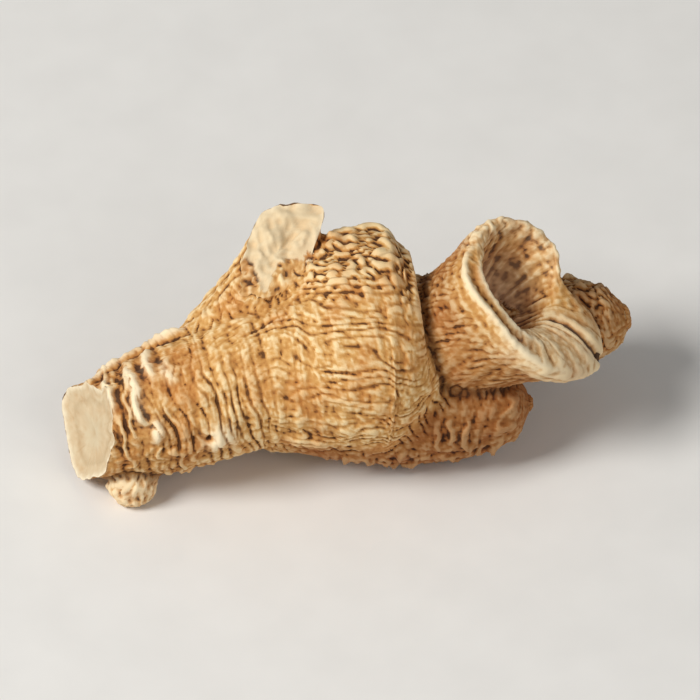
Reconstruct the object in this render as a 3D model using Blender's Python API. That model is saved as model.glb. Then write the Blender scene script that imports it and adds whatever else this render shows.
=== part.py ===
# A dried American ginseng root, lying on its side: a short stout taproot ringed with
# wrinkles, cut off at its thin end, with the hollow scar of its stem at the crown and the
# cut stubs of its side roots. It grew in one piece, so it is one solid.
#
# The root is drawn along +X from its cut end, in millimetres. It is then pitched to how it
# lies, worn flat where it touches the surface, and moved so that the origin is on that
# surface under the middle of its box.

import math
import random

import bmesh
import bpy
import numpy as np
from mathutils import Matrix, Vector

MM = 0.001
NAME = "ginseng_root"
SEED = 11

# Each line below is a list of x, y, z and radius, down the middle of one stretch of root.
TAPROOT = (
    (-2.5, 0.4, -0.2, 3.8),
    (0.5, 0.3, 0.0, 4.1),
    (3.5, 0.1, 0.1, 4.6),
    (7.0, 0.2, 0.6, 5.5),
    (11.5, 0.6, 1.1, 6.1),
    (15.5, 0.9, 1.3, 6.6),
    (20.0, 0.8, 0.9, 7.8),
    (24.0, 0.6, 0.7, 8.9),
    (27.0, 0.6, 0.4, 9.0),
    (29.3, 0.4, 0.1, 8.2),
    (30.6, 0.3, 0.0, 7.0),
    (31.6, 0.3, 0.2, 5.7),
    (33.4, 0.0, 0.4, 3.8),
    (35.5, -0.4, 1.0, 2.6),
)
# The root swells a second time low on its front, under the crown.
SHOULDER = (
    (17.0, -0.2, -1.0, 4.2),
    (21.0, -0.6, -2.0, 5.1),
    (25.0, -1.4, -3.0, 5.5),
    (29.0, -2.2, -4.1, 5.3),
    (32.5, -3.1, -4.9, 4.7),
    (35.2, -3.8, -5.4, 3.6),
    (36.8, -4.0, -5.7, 2.1),
    (37.4, -4.1, -5.8, 0.7),
)
# The next year's bud, behind the hollow stem scar.
BUD = (
    (33.0, 1.0, -0.6, 3.4),
    (37.0, 1.6, -2.0, 4.0),
    (40.5, 1.8, -3.2, 4.1),
    (43.8, 1.5, -3.8, 3.7),
    (46.2, 1.1, -4.0, 2.6),
    (47.4, 0.9, -4.0, 1.0),
)
# The thick side root that leaves the taproot's upper side, and the plane that cuts it off.
SIDE_ROOT = (
    (12.8, 2.0, 1.4, 5.0),
    (15.6, 3.4, 3.6, 4.6),
    (18.0, 4.5, 5.9, 3.9),
    (20.0, 5.3, 8.4, 3.3),
    (21.3, 5.9, 10.6, 3.0),
    (22.1, 6.3, 12.4, 3.0),
)
SIDE_ROOT_CUT = ((21.2, 5.9, 10.3), (0.0, -0.35, 0.94))
# A rootlet's stub under the cut end, and one low on the back. The root lies on both.
FRONT_STUB = ((4.9, -0.8, -1.1, 2.2), (4.6, -1.9, -2.7, 2.3), (4.3, -2.6, -4.0, 2.2), (4.2, -3.0, -5.0, 1.6))
BACK_STUB = ((20.0, 2.2, -3.0, 3.4), (20.6, 3.8, -4.8, 2.8), (21.1, 4.9, -6.4, 2.3), (21.3, 5.4, -7.5, 2.2))

# The crown: where its collar starts, the way it faces, and its outside as distance along
# that way and radius.
CROWN_BASE = (31.4, 0.0, -1.4)
CROWN_FACES = (0.695, -0.212, 0.687)
CROWN_OUTSIDE = ((0.0, 4.6), (1.4, 5.3), (2.8, 5.6), (4.2, 5.7), (5.5, 5.7), (6.8, 5.8), (8.0, 6.0))
# Over the lip: distance along, and share of the way from the hollow's edge to the lip's outside.
CROWN_ROLL = ((8.9, 1.0), (9.6, 0.93), (10.0, 0.70), (10.0, 0.42), (9.7, 0.17), (9.1, 0.0))
# Down the hollow: distance along, and share of the hollow's edge.
CROWN_HOLLOW = ((8.0, 0.88), (6.8, 0.76), (5.7, 0.58), (5.0, 0.38), (4.7, 0.18))
# Round the crown: angle, reach of the lip, reach of the hollow's edge, and how far the lip
# stands up. The lip is thick all along its front, folded out into a spout and high behind.
CROWN_LIP = (
    (20, 6.6, 3.9, 1.2),
    (60, 5.5, 2.9, 0.3),
    (105, 5.2, 2.3, 0.0),
    (150, 5.1, 2.3, -0.1),
    (180, 6.2, 2.7, -0.3),
    (212, 8.3, 3.2, -0.2),
    (250, 9.8, 3.8, 0.0),
    (272, 9.1, 3.9, 0.2),
    (292, 6.1, 4.1, 0.6),
    (320, 6.0, 4.8, 1.8),
    (350, 6.7, 4.4, 1.9),
)
# The lip's shape comes in from this far along, and the collar's folds run all its length.
LIP_STARTS = 3.0
CROWN_FOLDS = 16
FOLD_GROOVE = -0.34
FOLD_RIDGE = 0.14

THIN_END_CUT = ((1.2, 0.3, 0.0), (-0.93, -0.25, 0.20))

# Rings: how far apart they are, and where each has its rows of points, which are one in
# the groove and one on each edge of the ridge. Long furrows run every few columns.
RING_PITCH = 1.35
RING_SPREAD = (0.75, 1.3)
RING_STEPS = (0.0, 0.3, 0.7)
FURROW_GAPS = (2, 2, 3)
FULL_RELIEF_RADIUS = 4.0
GRAIN = 0.12

# The taproot's ring and furrow depths, as distances along it and the depths there.
TAPROOT_COLUMNS = 40
TAPROOT_RINGS = ((0.0, 10.0, 22.0, 30.0, 36.0), (0.42, 0.50, 0.46, 0.42, 0.35))
TAPROOT_FURROWS = ((0.0, 10.0, 20.0, 30.0, 36.0), (0.20, 0.35, 0.65, 0.90, 0.60))
# Knobs, in groups: how many, then ranges for place, angle, size across and height.
TAPROOT_KNOBS = (
    (10, (24.0, 32.0), (0.2, 1.7), (1.0, 1.6), (0.3, 0.7)),
    (14, (4.0, 32.0), (0.0, math.tau), (1.0, 2.0), (0.2, 0.5)),
    (1, (25.0, 25.0), (0.8, 0.8), (2.2, 2.2), (0.9, 0.9)),
)
SHOULDER_KNOBS = ((6, (8.0, 18.0), (0.0, math.tau), (1.0, 1.8), (0.2, 0.5)),)
BUD_KNOBS = ((7, (5.0, 14.0), (0.0, math.tau), (1.0, 1.6), (0.3, 0.6)),)

# How the root lies, and how far its lowest points are worn flat.
PITCH = math.radians(9.3)
WORN_FLAT = 0.35


def smooth_through(stations, places):
    """Values on a smooth curve through the stations, at distances along their chords."""
    table = np.array(stations, float)
    steps = np.linalg.norm(np.diff(table[:, :3], axis=0), axis=1)
    knots = np.concatenate([[0.0], np.cumsum(steps)])
    slopes = np.gradient(table, knots, axis=0)
    flat = np.clip(np.ravel(places), 0.0, knots[-1])
    index = np.clip(np.searchsorted(knots, flat) - 1, 0, len(knots) - 2)
    span = (knots[index + 1] - knots[index])[:, None]
    u = ((flat - knots[index])[:, None]) / span
    before, after = table[index], table[index + 1]
    value = (
        (2 * u**3 - 3 * u**2 + 1) * before
        + (u**3 - 2 * u**2 + u) * span * slopes[index]
        + (3 * u**2 - 2 * u**3) * after
        + (u**3 - u**2) * span * slopes[index + 1]
    )
    return value.reshape(np.shape(places) + (table.shape[1],))


def length_of(stations):
    points = np.array(stations, float)[:, :3]
    return float(np.linalg.norm(np.diff(points, axis=0), axis=1).sum())


def line_at(stations, places):
    """The line's middle, its radius and two directions across it, at each place."""
    here = smooth_through(stations, places)
    ahead = smooth_through(stations, np.asarray(places) + 0.05)
    behind = smooth_through(stations, np.asarray(places) - 0.05)
    along = ahead[..., :3] - behind[..., :3]
    along /= np.linalg.norm(along, axis=-1, keepdims=True)
    side = np.array([0.0, 1.0, 0.0]) - along * along[..., 1:2]
    side /= np.linalg.norm(side, axis=-1, keepdims=True)
    return here[..., :3], here[..., 3], side, np.cross(along, side)


class Wave:
    """A smooth wavering that closes on itself round the root: a sum of seeded sines."""

    def __init__(self, rng, turns, reach, along=(0.12, 0.4)):
        self.parts = [
            (turn, reach / (1 + 0.5 * i), rng.uniform(*along) * rng.choice((-1, 1)), rng.uniform(0, math.tau))
            for i, turn in enumerate(turns)
        ]

    def at(self, place, angle):
        total = 0.0
        for turn, size, rate, shift in self.parts:
            total = total + size * np.sin(turn * angle + rate * place + shift)
        return total


class Wrinkles:
    """The rings, long furrows and knobs of one stretch of root, as a height over its smooth skin."""

    def __init__(self, seed, length, columns, ring_depth, furrow_depth, knobs=()):
        rng = random.Random(seed)
        places = [0.0]
        while places[-1] < length + RING_PITCH:
            places.append(places[-1] + RING_PITCH * rng.uniform(*RING_SPREAD))
        self.grooves = np.array(places)
        self.strength = np.array([rng.uniform(0.55, 1.0) + 0.7 * (rng.random() < 0.16) for _ in places])
        self.wander = Wave(rng, (1, 2, 3, 5, 8), 0.42)
        self.patches = Wave(rng, (2, 3, 5, 4), 0.45, (0.3, 0.9))
        self.sway = Wave(rng, (1, 2), 0.10, (0.15, 0.35))
        self.furrows = [(0, rng.uniform(0.2, 0.5), rng.uniform(0, math.tau))]
        while self.furrows[-1][0] < columns - FURROW_GAPS[-1]:
            column = self.furrows[-1][0] + rng.choice(FURROW_GAPS)
            self.furrows.append((column, rng.uniform(0.2, 0.5), rng.uniform(0, math.tau)))
        self.knobs = [
            (rng.uniform(*places), rng.uniform(*angles), rng.uniform(*sizes), rng.uniform(*heights))
            for count, places, angles, sizes, heights in knobs
            for _ in range(count)
        ]
        self.length = length
        self.columns = columns
        self.ring_depth = ring_depth
        self.furrow_depth = furrow_depth

    def rows(self):
        """Each row's place in the pattern of rings: a groove and the two edges of its ridge."""
        ends = [(a, b) for a, b in zip(self.grooves, self.grooves[1:]) if b < self.length]
        return np.array([a + (b - a) * step for a, b in ends for step in RING_STEPS] + [self.length])

    def wandering(self, place, angle):
        """How far a ring strays along the root, which fades to nothing at the stretch's ends."""
        fade = np.clip(np.minimum(place, self.length - place) / (2 * RING_PITCH), 0.0, 1.0)
        return fade * self.wander.at(place, angle)

    def place_of(self, pattern, angle):
        """Where along the root a row of the pattern runs at each angle."""
        place = np.array(pattern, float)
        for _ in range(8):
            place = np.clip(pattern - self.wandering(place, angle), 0.0, self.length)
        return place

    def rings(self, place, angle):
        pattern = place + self.wandering(place, angle)
        index = np.clip(np.searchsorted(self.grooves, pattern, side="right") - 1, 0, len(self.grooves) - 2)
        left, right = self.grooves[index], self.grooves[index + 1]
        across = np.clip((pattern - left) / (right - left), 0.0, 1.0)
        ridge = np.sqrt(np.maximum(np.sin(math.pi * across), 0.0)) - 0.7
        strength = self.strength[index] * (1 - across) + self.strength[index + 1] * across
        patch = np.clip(0.9 + 0.6 * self.patches.at(place, angle), 0.5, 1.25)
        return ridge * strength * patch * np.interp(place, *self.ring_depth)

    def long_furrows(self, place, column):
        deepest = np.zeros(np.shape(place))
        half = self.columns / 2
        for middle, rate, shift in self.furrows:
            away = np.abs((column - middle + half) % self.columns - half)
            strength = np.clip(0.7 + 0.6 * np.sin(rate * place + shift), 0.2, 1.0)
            deepest = np.maximum(deepest, np.clip(1 - away / 1.1, 0.0, 1.0) * strength)
        return (0.25 - deepest) * np.interp(place, *self.furrow_depth)

    def lumps(self, place, angle, radius):
        height = GRAIN * np.sin(9 * angle + 1.3 * place) * np.sin(6 * angle - 1.9 * place + 1.0)
        for middle, toward, size, rise in self.knobs:
            away = (angle - toward + math.pi) % math.tau - math.pi
            height += rise * np.exp(-((place - middle) ** 2 + (away * radius) ** 2) / size**2)
        return height


def solid(name, points, columns):
    """A closed object from rows of points, each row a closed ring, with its ends capped."""
    rows = len(points) // columns
    mesh = bpy.data.meshes.new(name)
    ring = np.arange(columns)
    following = np.roll(ring, -1)
    faces = [
        (row + a, row + b, row + columns + b, row + columns + a)
        for row in range(0, (rows - 1) * columns, columns)
        for a, b in zip(ring.tolist(), following.tolist())
    ]
    faces.append(tuple(ring[::-1].tolist()))
    faces.append(tuple((ring + (rows - 1) * columns).tolist()))
    mesh.from_pydata([tuple(p) for p in np.asarray(points) * MM], [], faces)
    work = bmesh.new()
    work.from_mesh(mesh)
    bmesh.ops.recalc_face_normals(work, faces=work.faces)
    work.to_mesh(mesh)
    work.free()
    return bpy.data.objects.new(name, mesh)


def cut_flat(piece, place, outward):
    """Slices the piece off beyond a plane, and closes the slice."""
    work = bmesh.new()
    work.from_mesh(piece.data)
    found = bmesh.ops.bisect_plane(
        work,
        geom=work.verts[:] + work.edges[:] + work.faces[:],
        dist=1e-7,
        plane_co=Vector(place) * MM,
        plane_no=Vector(outward).normalized(),
        clear_outer=True,
    )
    edges = [e for e in found["geom_cut"] if isinstance(e, bmesh.types.BMEdge)]
    bmesh.ops.holes_fill(work, edges=edges)
    bmesh.ops.recalc_face_normals(work, faces=work.faces)
    work.to_mesh(piece.data)
    work.free()
    return piece


def root_stretch(name, stations, wrinkles):
    """A stretch of root whose rows follow its rings, and whose columns follow its furrows."""
    column, pattern = np.meshgrid(np.arange(wrinkles.columns), wrinkles.rows())
    angle = column * math.tau / wrinkles.columns
    place = wrinkles.place_of(pattern, angle)
    middle, radius, side, up = line_at(stations, place)
    form = 1 + 0.035 * np.cos(2 * angle + 0.09 * place) + 0.03 * np.cos(3 * angle - 0.12 * place + 1.0)
    relief = wrinkles.rings(place, angle) + wrinkles.long_furrows(place, column)
    relief = relief * np.clip(radius / FULL_RELIEF_RADIUS, 0.2, 1.0) + wrinkles.lumps(place, angle, radius)
    turned = angle + wrinkles.sway.at(place, angle)
    reach = (radius * form + relief)[..., None]
    points = middle + reach * (np.cos(turned)[..., None] * side + np.sin(turned)[..., None] * up)
    return solid(name, points.reshape(-1, 3), wrinkles.columns)


def wrinkled(name, stations, columns, seed, rings, furrows, knobs=()):
    """A stretch of root with one depth of rings and of furrows all along it."""
    length = length_of(stations)
    depths = [((0.0, length), (depth, depth)) for depth in (rings, furrows)]
    return root_stretch(name, stations, Wrinkles(seed, length, columns, *depths, knobs))


def round_crown(angle):
    """The lip's reach, the hollow's edge and how far the lip stands up, at each angle."""
    table = np.array(CROWN_LIP)
    knots = np.concatenate([table[:, 0] - 360, table[:, 0], table[:, 0] + 360])
    values = np.concatenate([table[:, 1:]] * 3)
    slopes = np.gradient(values, knots, axis=0)
    degrees = np.degrees(angle) % 360
    index = np.searchsorted(knots, degrees, side="right") - 1
    span = (knots[index + 1] - knots[index])[..., None]
    u = (degrees - knots[index])[..., None] / span
    found = (
        (2 * u**3 - 3 * u**2 + 1) * values[index]
        + (u**3 - 2 * u**2 + u) * span * slopes[index]
        + (3 * u**2 - 2 * u**3) * values[index + 1]
        + (u**3 - u**2) * span * slopes[index + 1]
    )
    return np.moveaxis(found, -1, 0)


def crown():
    """The collar round the stem's hollow scar, with its long folds and its spout."""
    base, axis = np.array(CROWN_BASE), np.array(CROWN_FACES)
    axis /= np.linalg.norm(axis)
    side = np.array([0.0, 1.0, 0.0]) - axis * axis[1]
    side /= np.linalg.norm(side)
    up = np.cross(axis, side)
    drift = Wave(random.Random(SEED + 5), (1, 2), 0.10, (0.1, 0.3))
    outside = [(rise, radius, 0.0, 0.0) for rise, radius in CROWN_OUTSIDE]
    roll = [(rise, 0.0, share, 1 - share) for rise, share in CROWN_ROLL]
    hollow = [(rise, 0.0, 0.0, share) for rise, share in CROWN_HOLLOW]
    profile = np.array(outside + roll + hollow)
    columns = CROWN_FOLDS * 3
    column, row = np.meshgrid(np.arange(columns), np.arange(len(profile)))
    angle = column * math.tau / columns
    lip, edge, stand = round_crown(angle)
    rise, own, of_lip, of_edge = np.moveaxis(profile[row], -1, 0)
    near_lip = np.clip((rise - LIP_STARTS) / (CROWN_ROLL[0][0] - LIP_STARTS), 0.0, 1.0)
    flare = np.where(row < len(outside), near_lip**1.5 * (lip - CROWN_OUTSIDE[-1][1]), 0.0)
    fold = np.where(column % 3 == 0, FOLD_GROOVE, FOLD_RIDGE) * np.where(row <= len(outside), 1.0, 0.5)
    fold = fold * np.clip(rise / LIP_STARTS, 0.0, 1.0)
    reach = (own + of_lip * lip + of_edge * edge + flare + fold)[..., None]
    rise = rise + near_lip * stand
    turned = angle + drift.at(rise, angle)
    outward = np.cos(turned)[..., None] * side + np.sin(turned)[..., None] * up
    points = base + rise[..., None] * axis + reach * outward
    return solid("crown", points.reshape(-1, 3), columns)


def taproot():
    """The main root, whose rings are deepest at its thin end and furrows at its thick one."""
    wrinkles = Wrinkles(
        SEED,
        length_of(TAPROOT),
        TAPROOT_COLUMNS,
        TAPROOT_RINGS,
        TAPROOT_FURROWS,
        TAPROOT_KNOBS,
    )
    return cut_flat(root_stretch(NAME, TAPROOT, wrinkles), *THIN_END_CUT)


def joined(body, others):
    """Grows the other pieces into the body, so that they are one solid."""
    grown = bpy.data.collections.new("grown_on")
    bpy.context.scene.collection.children.link(grown)
    for piece in others:
        grown.objects.link(piece)
    union = body.modifiers.new("grown_together", "BOOLEAN")
    union.operation = "UNION"
    union.solver = "MANIFOLD"
    union.operand_type = "COLLECTION"
    union.collection = grown
    bpy.context.view_layer.objects.active = body
    bpy.ops.object.modifier_apply(modifier=union.name)
    for piece in others:
        bpy.data.objects.remove(piece)
    bpy.data.collections.remove(grown)
    return body


def laid_down(body):
    """Pitches the root to how it lies, wears its lowest points flat and sets the origin."""
    body.data.transform(Matrix.Rotation(-PITCH, 4, "Y"))
    low = min(v.co.z for v in body.data.vertices) + WORN_FLAT * MM
    cut_flat(body, (0.0, 0.0, low / MM), (0.0, 0.0, -1.0))
    xs = [v.co.x for v in body.data.vertices]
    ys = [v.co.y for v in body.data.vertices]
    middle = ((min(xs) + max(xs)) / 2, (min(ys) + max(ys)) / 2, low)
    body.data.transform(Matrix.Translation(-Vector(middle)))
    return body


def in_triangles(body):
    """Splits every face into triangles, so that a bent face has only one reading."""
    work = bmesh.new()
    work.from_mesh(body.data)
    bmesh.ops.triangulate(work, faces=work.faces)
    work.to_mesh(body.data)
    work.free()
    return body


def root_skin():
    """Dry tan root skin."""
    material = bpy.data.materials.new("root_skin")
    material.use_nodes = True
    shader = material.node_tree.nodes["Principled BSDF"]
    shader.inputs["Base Color"].default_value = (0.56, 0.37, 0.19, 1.0)
    shader.inputs["Roughness"].default_value = 0.85
    shader.inputs["Metallic"].default_value = 0.0
    return material


def build():
    for old in list(bpy.data.objects):
        bpy.data.objects.remove(old)
    holder = bpy.data.collections.new("american_ginseng_root")
    bpy.context.scene.collection.children.link(holder)
    root = taproot()
    holder.objects.link(root)
    side_root = wrinkled("side_root", SIDE_ROOT, 20, SEED + 2, rings=0.30, furrows=0.30)
    joined(
        root,
        [
            wrinkled("shoulder", SHOULDER, 28, SEED + 1, rings=0.50, furrows=0.50, knobs=SHOULDER_KNOBS),
            wrinkled("bud", BUD, 20, SEED + 6, rings=0.40, furrows=0.50, knobs=BUD_KNOBS),
            crown(),
            cut_flat(side_root, *SIDE_ROOT_CUT),
            wrinkled("front_stub", FRONT_STUB, 12, SEED + 3, rings=0.20, furrows=0.20),
            wrinkled("back_stub", BACK_STUB, 12, SEED + 4, rings=0.25, furrows=0.25),
        ],
    )
    laid_down(root)
    in_triangles(root)
    root.data.materials.clear()
    root.data.materials.append(root_skin())
    root.data.shade_smooth()
    root.data.set_sharp_from_angle(angle=math.radians(40))


build()
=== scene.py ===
import math
import random

import bpy
import numpy as np
from mathutils import Matrix, Vector
from mathutils.kdtree import KDTree


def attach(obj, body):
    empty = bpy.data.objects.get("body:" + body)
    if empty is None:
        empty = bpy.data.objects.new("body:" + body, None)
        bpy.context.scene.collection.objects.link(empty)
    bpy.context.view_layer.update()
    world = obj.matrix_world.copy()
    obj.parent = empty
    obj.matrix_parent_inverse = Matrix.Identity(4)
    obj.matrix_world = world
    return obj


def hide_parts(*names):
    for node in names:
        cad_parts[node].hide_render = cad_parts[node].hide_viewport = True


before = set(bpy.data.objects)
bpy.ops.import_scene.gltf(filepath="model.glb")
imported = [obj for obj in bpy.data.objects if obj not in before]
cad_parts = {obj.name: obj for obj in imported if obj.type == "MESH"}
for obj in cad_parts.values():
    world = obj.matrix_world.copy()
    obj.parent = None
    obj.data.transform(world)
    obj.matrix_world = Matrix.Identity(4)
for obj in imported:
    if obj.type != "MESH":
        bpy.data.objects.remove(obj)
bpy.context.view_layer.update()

# The taproot.
# It is the thick main root, dried hard, ringed like a worm where it shrank and netted with
# long wrinkles towards its crown. Its thin end is cut across, which shows the pale inside.

MM = 0.001
SEED = 11
TAPROOT = (
    (-2.5, 0.8, 0.2, 3.8),
    (0.5, 0.7, 0.4, 4.1),
    (3.5, 0.5, 0.5, 4.6),
    (7.0, 0.4, 0.8, 5.5),
    (11.5, 0.6, 1.1, 6.1),
    (15.5, 0.9, 1.3, 6.6),
    (20.0, 0.8, 0.9, 7.8),
    (24.0, 0.6, 0.7, 8.9),
    (27.0, 0.6, 0.4, 9.0),
    (29.3, 0.4, 0.1, 8.2),
    (30.6, 0.3, 0.0, 7.0),
    (31.6, 0.3, 0.2, 5.7),
    (33.4, 0.0, 0.4, 3.8),
    (35.5, -0.4, 1.0, 2.6),
)
THIN_END_CUT = ((1.1, 0.6, 0.4), (-0.93, -0.18, 0.39))
SQUARED = 0.10
THICK_END_LEAN = 1.3
THICK_END_LEANS = math.radians(215)
THICK_END_RAISED = 0.10
THICK_END_ROUNDED = 0.14
TAIL_BROWN = ((0.0, 8.0, 15.0), (0.34, 0.34, 0.0))
RING_PITCH = 1.35
RING_SPREAD = (0.75, 1.3)
FURROW_GAPS = (2, 2, 3)
FULL_RELIEF_RADIUS = 4.0
GRAIN = 0.12
TAPROOT_COLUMNS = 40
TAPROOT_RINGS = ((0.0, 10.0, 22.0, 30.0, 36.0), (0.42, 0.50, 0.46, 0.42, 0.35))
TAPROOT_FURROWS = ((0.0, 10.0, 20.0, 30.0, 36.0), (0.20, 0.35, 0.65, 0.90, 0.60))
TAPROOT_KNOBS = (
    (10, (24.0, 32.0), (0.2, 1.7), (1.0, 1.6), (0.3, 0.7)),
    (14, (4.0, 32.0), (0.0, math.tau), (1.0, 2.0), (0.2, 0.5)),
    (1, (25.0, 25.0), (0.8, 0.8), (2.2, 2.2), (0.9, 0.9)),
)
TAPROOT_GRID = (244, 220)
SEEN_SIDE = math.radians(135)
CROWDING = 0.35
RING_SHARE = 0.38
FURROW_SHARE = 0.22
FINE_RING_PITCH = 0.76
RIB_PITCH = 1.45
THICK_END_TOP = math.radians(48)
KNOBBLY_SIDE = math.radians(62)
HALVINGS = 26
# Scars: place along the root, angle round it and size. Ribs: the same, with reach and height.
SCARS = ((13.7, 176, 1.0), (19.0, 262, 0.8), (8.0, 300, 0.7), (26.5, 330, 0.9))
RIB_WIDTH = 0.42
RIBS = (
    (4.4, 160, 1.2, 0.45),
    (6.5, 95, 1.5, 0.62),
    (8.7, 108, 2.3, 0.70),
    (9.4, 146, 1.0, 0.50),
    (10.4, 88, 1.5, 0.50),
    (11.6, 104, 1.2, 0.35),
)
# Long ridges and, below nought, creases: where each starts and ends, its angle, width and height.
LONG_RIDGES = ((1.2, 16.0, 57, 0.55, 0.48), (23.0, 27.2, 148, 0.16, -0.22), (17.5, 22.0, 112, 0.16, -0.15))


def smooth_through(stations, places):
    """Values on a smooth curve through the stations, at distances along their chords."""
    table = np.array(stations, float)
    steps = np.linalg.norm(np.diff(table[:, :3], axis=0), axis=1)
    knots = np.concatenate([[0.0], np.cumsum(steps)])
    slopes = np.gradient(table, knots, axis=0)
    flat = np.clip(np.ravel(places), 0.0, knots[-1])
    index = np.clip(np.searchsorted(knots, flat) - 1, 0, len(knots) - 2)
    span = (knots[index + 1] - knots[index])[:, None]
    u = ((flat - knots[index])[:, None]) / span
    before, after = table[index], table[index + 1]
    value = (
        (2 * u**3 - 3 * u**2 + 1) * before
        + (u**3 - 2 * u**2 + u) * span * slopes[index]
        + (3 * u**2 - 2 * u**3) * after
        + (u**3 - u**2) * span * slopes[index + 1]
    )
    return value.reshape(np.shape(places) + (table.shape[1],))


def length_of(stations):
    points = np.array(stations, float)[:, :3]
    return float(np.linalg.norm(np.diff(points, axis=0), axis=1).sum())


def line_at(stations, places):
    """The line's middle, its radius and two directions across it, at each place."""
    here = smooth_through(stations, places)
    ahead = smooth_through(stations, np.asarray(places) + 0.05)
    behind = smooth_through(stations, np.asarray(places) - 0.05)
    along = ahead[..., :3] - behind[..., :3]
    along /= np.linalg.norm(along, axis=-1, keepdims=True)
    side = np.array([0.0, 1.0, 0.0]) - along * along[..., 1:2]
    side /= np.linalg.norm(side, axis=-1, keepdims=True)
    return here[..., :3], here[..., 3], side, np.cross(along, side)


class Wave:
    """A smooth wavering that closes on itself round the root: a sum of seeded sines."""

    def __init__(self, rng, turns, reach, along=(0.12, 0.4)):
        self.parts = [
            (turn, reach / (1 + 0.5 * i), rng.uniform(*along) * rng.choice((-1, 1)), rng.uniform(0, math.tau))
            for i, turn in enumerate(turns)
        ]

    def at(self, place, angle):
        total = 0.0
        for turn, size, rate, shift in self.parts:
            total = total + size * np.sin(turn * angle + rate * place + shift)
        return total


class Wrinkles:
    """The rings, long furrows and knobs of one stretch of root, as on its solid."""

    def __init__(self, seed, length, columns, ring_depth, furrow_depth, knobs=()):
        rng = random.Random(seed)
        places = [0.0]
        while places[-1] < length + RING_PITCH:
            places.append(places[-1] + RING_PITCH * rng.uniform(*RING_SPREAD))
        self.grooves = np.array(places)
        self.strength = np.array([rng.uniform(0.55, 1.0) + 0.7 * (rng.random() < 0.16) for _ in places])
        self.wander = Wave(rng, (1, 2, 3, 5, 8), 0.42)
        self.patches = Wave(rng, (2, 3, 5, 4), 0.45, (0.3, 0.9))
        self.sway = Wave(rng, (1, 2), 0.10, (0.15, 0.35))
        self.furrows = [(0, rng.uniform(0.2, 0.5), rng.uniform(0, math.tau))]
        while self.furrows[-1][0] < columns - FURROW_GAPS[-1]:
            column = self.furrows[-1][0] + rng.choice(FURROW_GAPS)
            self.furrows.append((column, rng.uniform(0.2, 0.5), rng.uniform(0, math.tau)))
        self.knobs = [
            (rng.uniform(*places), rng.uniform(*angles), rng.uniform(*sizes), rng.uniform(*heights))
            for count, places, angles, sizes, heights in knobs
            for _ in range(count)
        ]
        self.length = length
        self.columns = columns
        self.ring_depth = ring_depth
        self.furrow_depth = furrow_depth

    def wandering(self, place, angle):
        """How far a ring strays along the root, which fades to nothing at the stretch's ends."""
        fade = np.clip(np.minimum(place, self.length - place) / (2 * RING_PITCH), 0.0, 1.0)
        return fade * self.wander.at(place, angle)

    def rings(self, place, angle):
        pattern = place + self.wandering(place, angle)
        index = np.clip(np.searchsorted(self.grooves, pattern, side="right") - 1, 0, len(self.grooves) - 2)
        left, right = self.grooves[index], self.grooves[index + 1]
        across = np.clip((pattern - left) / (right - left), 0.0, 1.0)
        ridge = np.sqrt(np.maximum(np.sin(math.pi * across), 0.0)) - 0.7
        strength = self.strength[index] * (1 - across) + self.strength[index + 1] * across
        patch = np.clip(0.9 + 0.6 * self.patches.at(place, angle), 0.5, 1.25)
        return ridge * strength * patch * np.interp(place, *self.ring_depth)

    def long_furrows(self, place, column):
        deepest = np.zeros(np.shape(place))
        half = self.columns / 2
        for middle, rate, shift in self.furrows:
            away = np.abs((column - middle + half) % self.columns - half)
            strength = np.clip(0.7 + 0.6 * np.sin(rate * place + shift), 0.2, 1.0)
            deepest = np.maximum(deepest, np.clip(1 - away / 1.1, 0.0, 1.0) * strength)
        return (0.25 - deepest) * np.interp(place, *self.furrow_depth)

    def lumps(self, place, angle, radius):
        height = GRAIN * np.sin(9 * angle + 1.3 * place) * np.sin(6 * angle - 1.9 * place + 1.0)
        for middle, toward, size, rise in self.knobs:
            away = (angle - toward + math.pi) % math.tau - math.pi
            height += rise * np.exp(-((place - middle) ** 2 + (away * radius) ** 2) / size**2)
        return height


class Grit:
    """Seeded gradient noise in three dimensions, which runs from about -1 to 1."""

    def __init__(self, seed):
        rng = np.random.default_rng(seed)
        self.order = np.tile(rng.permutation(256), 2)
        slopes = rng.normal(size=(256, 3))
        self.slopes = slopes / np.linalg.norm(slopes, axis=1, keepdims=True)

    def at(self, points):
        cell = np.floor(points).astype(int)
        part = points - cell
        cell &= 255
        fade = part * part * part * (part * (part * 6 - 15) + 10)
        total = np.zeros(points.shape[:-1])
        for corner in np.ndindex(2, 2, 2):
            spot = cell + np.array(corner)
            key = self.order[self.order[self.order[spot[..., 0] & 255] + (spot[..., 1] & 255)] + (spot[..., 2] & 255)]
            weight = np.prod(np.where(np.array(corner) == 1, fade, 1 - fade), axis=-1)
            total += weight * np.sum(self.slopes[key] * (part - np.array(corner)), axis=-1)
        return 1.6 * total


def between(low, high, value):
    """A smooth step from 0 at low to 1 at high."""
    u = np.clip((value - low) / (high - low), 0.0, 1.0)
    return u * u * (3 - 2 * u)


def creases(noise, width):
    """Fine valleys wherever the noise crosses nought, from 0 on the flat to 1 in the valley."""
    return np.clip(1 - np.abs(noise) / width, 0.0, 1.0)


def thin_lines(turn, width):
    """Thin lines wherever a count passes a whole number, from 0 between them to 1 on them."""
    return between(0.5 - width, 0.5, np.abs(turn % 1.0 - 0.5))


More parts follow.
